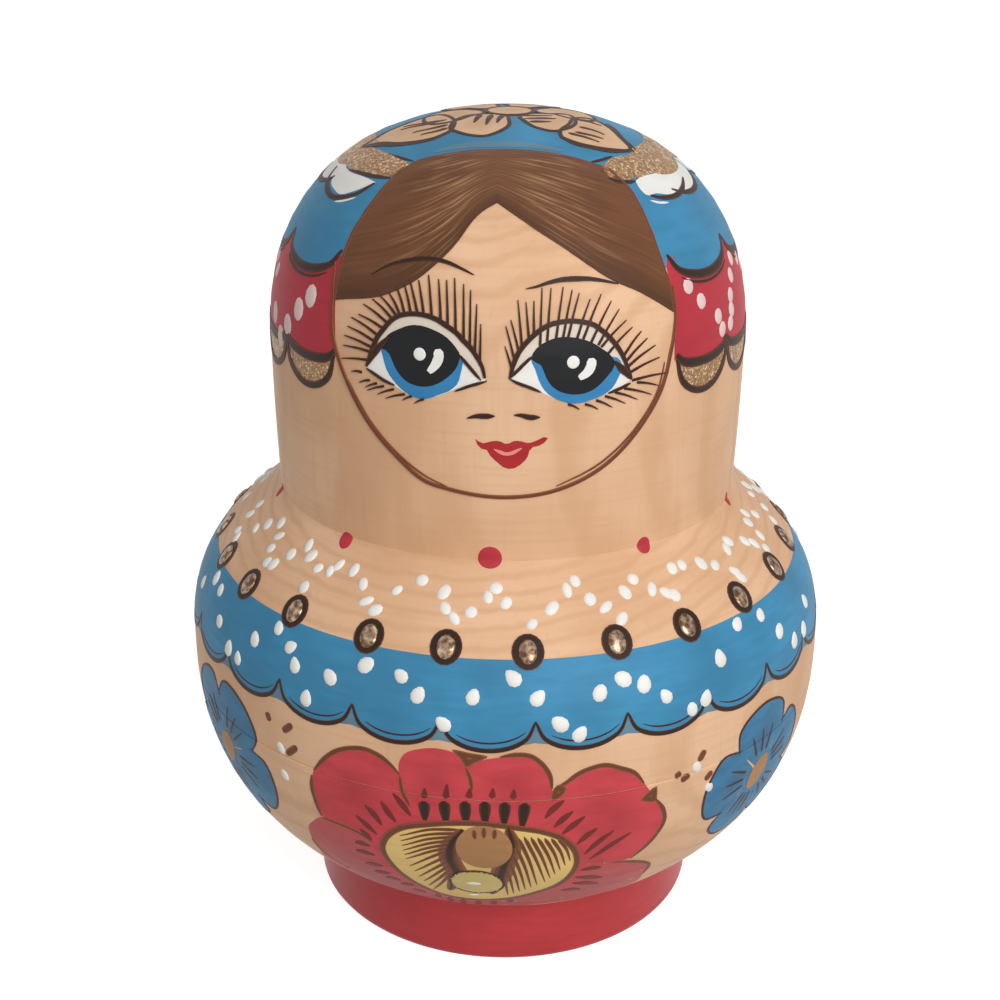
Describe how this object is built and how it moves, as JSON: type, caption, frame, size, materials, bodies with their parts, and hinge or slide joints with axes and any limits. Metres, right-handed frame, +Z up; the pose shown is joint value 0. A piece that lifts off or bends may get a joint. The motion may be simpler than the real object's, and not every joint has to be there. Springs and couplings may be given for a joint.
{
  "type": "nesting doll",
  "caption": "Round-bellied turned wooden nesting dolls, each opening at a seam around the next, with burnt outlines, a painted face, and blue and red flowers.",
  "frame": {"origin": "centre of the largest doll's foot, on the surface that it stands on", "axes": "+Z up along the turning axis to the crown, -Y the way that the painted face looks"},
  "size_m": [0.11, 0.11, 0.139],
  "materials": {
    "varnished_basswood": "clear satin varnish over turned basswood",
    "blue_paint": "varnished gouache",
    "red_paint": "varnished gouache",
    "cream_paint": "raised gouache dots under varnish",
    "yellow_paint": "varnished gouache",
    "brown_paint": "varnished gouache and burnt lines",
    "bronze_glitter": "bronze glitter paint"
  },
  "bodies": {
    "doll_01_lower": {"doll_01_lower": "varnished_basswood"},
    "doll_02_lower": {"doll_02_lower": "varnished_basswood"},
    "doll_03_lower": {"doll_03_lower": "varnished_basswood"},
    "doll_04_lower": {"doll_04_lower": "varnished_basswood"},
    "doll_05_lower": {"doll_05_lower": "varnished_basswood"},
    "doll_06_lower": {"doll_06_lower": "varnished_basswood"},
    "doll_07_lower": {"doll_07_lower": "varnished_basswood"},
    "doll_08_lower": {"doll_08_lower": "varnished_basswood"},
    "doll_09_lower": {"doll_09_lower": "varnished_basswood"},
    "doll_10_solid": {"doll_10_solid": "varnished_basswood"},
    "doll_09_upper": {"doll_09_upper": "varnished_basswood"},
    "doll_08_upper": {"doll_08_upper": "varnished_basswood"},
    "doll_07_upper": {"doll_07_upper": "varnished_basswood"},
    "doll_06_upper": {"doll_06_upper": "varnished_basswood"},
    "doll_05_upper": {"doll_05_upper": "varnished_basswood"},
    "doll_04_upper": {"doll_04_upper": "varnished_basswood"},
    "doll_03_upper": {"doll_03_upper": "varnished_basswood"},
    "doll_02_upper": {"doll_02_upper": "varnished_basswood"},
    "doll_01_upper": {"doll_01_upper": "varnished_basswood"}
  },
  "joints": [
    {"name": "lift_doll_02", "type": "slide", "parent": "doll_01_lower", "child": "doll_02_lower", "axis": [0, 0, 1], "range_m": [0, 0.052]},
    {"name": "lift_doll_03", "type": "slide", "parent": "doll_02_lower", "child": "doll_03_lower", "axis": [0, 0, 1], "range_m": [0, 0.044]},
    {"name": "lift_doll_04", "type": "slide", "parent": "doll_03_lower", "child": "doll_04_lower", "axis": [0, 0, 1], "range_m": [0, 0.037]},
    {"name": "lift_doll_05", "type": "slide", "parent": "doll_04_lower", "child": "doll_05_lower", "axis": [0, 0, 1], "range_m": [0, 0.031]},
    {"name": "lift_doll_06", "type": "slide", "parent": "doll_05_lower", "child": "doll_06_lower", "axis": [0, 0, 1], "range_m": [0, 0.026]},
    {"name": "lift_doll_07", "type": "slide", "parent": "doll_06_lower", "child": "doll_07_lower", "axis": [0, 0, 1], "range_m": [0, 0.022]},
    {"name": "lift_doll_08", "type": "slide", "parent": "doll_07_lower", "child": "doll_08_lower", "axis": [0, 0, 1], "range_m": [0, 0.018]},
    {"name": "lift_doll_09", "type": "slide", "parent": "doll_08_lower", "child": "doll_09_lower", "axis": [0, 0, 1], "range_m": [0, 0.015]},
    {"name": "lift_doll_10", "type": "slide", "parent": "doll_09_lower", "child": "doll_10_solid", "axis": [0, 0, 1], "range_m": [0, 0.013]},
    {"name": "open_doll_09", "type": "slide", "parent": "doll_10_solid", "child": "doll_09_upper", "axis": [0, 0, 1], "range_m": [0, 0.018]},
    {"name": "open_doll_08", "type": "slide", "parent": "doll_09_upper", "child": "doll_08_upper", "axis": [0, 0, 1], "range_m": [0, 0.024]},
    {"name": "open_doll_07", "type": "slide", "parent": "doll_08_upper", "child": "doll_07_upper", "axis": [0, 0, 1], "range_m": [0, 0.03]},
    {"name": "open_doll_06", "type": "slide", "parent": "doll_07_upper", "child": "doll_06_upper", "axis": [0, 0, 1], "range_m": [0, 0.037]},
    {"name": "open_doll_05", "type": "slide", "parent": "doll_06_upper", "child": "doll_05_upper", "axis": [0, 0, 1], "range_m": [0, 0.045]},
    {"name": "open_doll_04", "type": "slide", "parent": "doll_05_upper", "child": "doll_04_upper", "axis": [0, 0, 1], "range_m": [0, 0.054]},
    {"name": "open_doll_03", "type": "slide", "parent": "doll_04_upper", "child": "doll_03_upper", "axis": [0, 0, 1], "range_m": [0, 0.065]},
    {"name": "open_doll_02", "type": "slide", "parent": "doll_03_upper", "child": "doll_02_upper", "axis": [0, 0, 1], "range_m": [0, 0.078]},
    {"name": "open_doll_01", "type": "slide", "parent": "doll_02_upper", "child": "doll_01_upper", "axis": [0, 0, 1], "range_m": [0, 0.093]}
  ]
}
